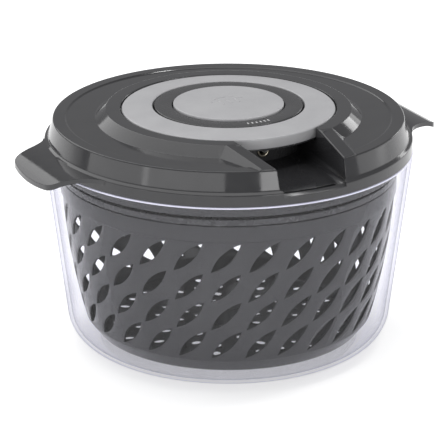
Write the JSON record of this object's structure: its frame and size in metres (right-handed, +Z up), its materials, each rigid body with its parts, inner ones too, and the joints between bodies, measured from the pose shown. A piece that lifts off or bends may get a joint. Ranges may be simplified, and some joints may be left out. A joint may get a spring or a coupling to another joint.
{
  "type": "salad spinner",
  "caption": "Pull-ring salad spinner: clear bowl, slotted basket, and an eared lid with a cord reel, stop button, finger notch and pouring slot.",
  "frame": {"origin": "middle of the bowl's flat base, on the table", "axes": "+Z up through the basket's spin axis; the lid's finger notch faces -Y; the lid's two ears lie along X"},
  "size_m": [0.296, 0.25, 0.1669],
  "materials": {
    "clear_bowl": "clear styrene-like plastic, polished",
    "lid_plastic": "dark grey moulded plastic, high gloss",
    "basket_plastic": "dark grey moulded plastic, satin gloss",
    "housing_plastic": "dark grey moulded plastic, fine satin",
    "grip_plastic": "light grey moulded plastic, satin",
    "mechanism_plastic": "natural white engineering plastic",
    "drive_plastic": "dark grey moulded plastic, satin",
    "brake_rubber": "black friction rubber",
    "steel": "bright steel",
    "eyelet_metal": "nickel-tinted brass",
    "bush_bronze": "sintered bronze",
    "cord_nylon": "braided nylon"
  },
  "bodies": {
    "bowl": {"bowl": "clear_bowl"},
    "basket_carrier": {"basket_pivot_bush": "mechanism_plastic"},
    "basket": {"basket": "basket_plastic"},
    "lid": {"lid_shell": "lid_plastic", "reel_housing": "housing_plastic", "mechanism_cover": "drive_plastic", "cord_eyelet": "eyelet_metal", "main_axle": "steel", "button_spring": "steel", "pull_cord": "cord_nylon", "cover_screw_1": "steel", "cover_screw_2": "steel", "cover_screw_3": "steel", "cover_screw_4": "steel"},
    "pull_handle": {"pull_ring": "grip_plastic", "pull_ring_base": "housing_plastic", "cord_knot": "cord_nylon"},
    "stop_brake": {"stop_button": "grip_plastic", "brake_ring": "brake_rubber"},
    "reel": {"cord_reel": "mechanism_plastic", "cord_winding": "cord_nylon", "spring_cover": "mechanism_plastic", "return_spring": "steel", "reel_bush_lower": "bush_bronze", "reel_bush_upper": "bush_bronze"},
    "pawl_1": {"pawl_1": "steel"},
    "pawl_2": {"pawl_2": "steel"},
    "pawl_3": {"pawl_3": "steel"},
    "drive": {"drive_hub": "mechanism_plastic", "hub_bush": "bush_bronze", "drive_plate": "drive_plastic", "axle_washer": "steel", "axle_screw": "steel", "drive_screw_1": "steel", "drive_screw_2": "steel", "drive_screw_3": "steel"}
  },
  "joints": [
    {"name": "basket_lift", "type": "slide", "parent": "bowl", "child": "basket_carrier", "axis": [0, 0, 1], "range_m": [0, 0.15]},
    {"name": "basket_spin", "type": "hinge", "parent": "basket_carrier", "child": "basket", "pos_m": [0, 0, 0.0143], "axis": [0, 0, 1], "continuous": true},
    {"name": "lid_lift", "type": "slide", "parent": "basket_carrier", "child": "lid", "axis": [0, 0, 1], "range_m": [0, 0.15]},
    {"name": "ring_pull", "type": "slide", "parent": "lid", "child": "pull_handle", "axis": [0, 0, 1], "range_m": [0, 0.3], "stiffness_N_per_m": 8, "springref_m": -0.35, "deforming": ["pull_cord"]},
    {"name": "button_press", "type": "slide", "parent": "lid", "child": "stop_brake", "axis": [0, 0, -1], "range_m": [0, 0.003], "stiffness_N_per_m": 700, "springref_m": -0.004, "deforming": ["button_spring"]},
    {"name": "reel_spin", "type": "hinge", "parent": "lid", "child": "reel", "pos_m": [0, 0, 0.147], "axis": [0, 0, 1], "range_deg": [0, 765], "deforming": ["return_spring"]},
    {"name": "drive_spin", "type": "hinge", "parent": "lid", "child": "drive", "pos_m": [0, 0, 0.132], "axis": [0, 0, 1], "continuous": true},
    {"name": "pawl_1_swing", "type": "hinge", "parent": "reel", "child": "pawl_1", "pos_m": [0.017, 0, 0.1395], "axis": [0, 0, -1], "range_deg": [0, 13], "stiffness_Nm_per_rad": 0.001, "springref_deg": -5.73},
    {"name": "pawl_2_swing", "type": "hinge", "parent": "reel", "child": "pawl_2", "pos_m": [-0.0085, 0.01472, 0.1395], "axis": [0, 0, -1], "range_deg": [0, 13], "stiffness_Nm_per_rad": 0.001, "springref_deg": -5.73},
    {"name": "pawl_3_swing", "type": "hinge", "parent": "reel", "child": "pawl_3", "pos_m": [-0.0085, -0.01472, 0.1395], "axis": [0, 0, -1], "range_deg": [0, 13], "stiffness_Nm_per_rad": 0.001, "springref_deg": -5.73}
  ],
  "couplings": [
    {"joint": "drive_spin", "follows": "basket_spin", "ratio": 1},
    {"joint": "reel_spin", "follows": "ring_pull", "rad_per_m": 44.506}
  ]
}
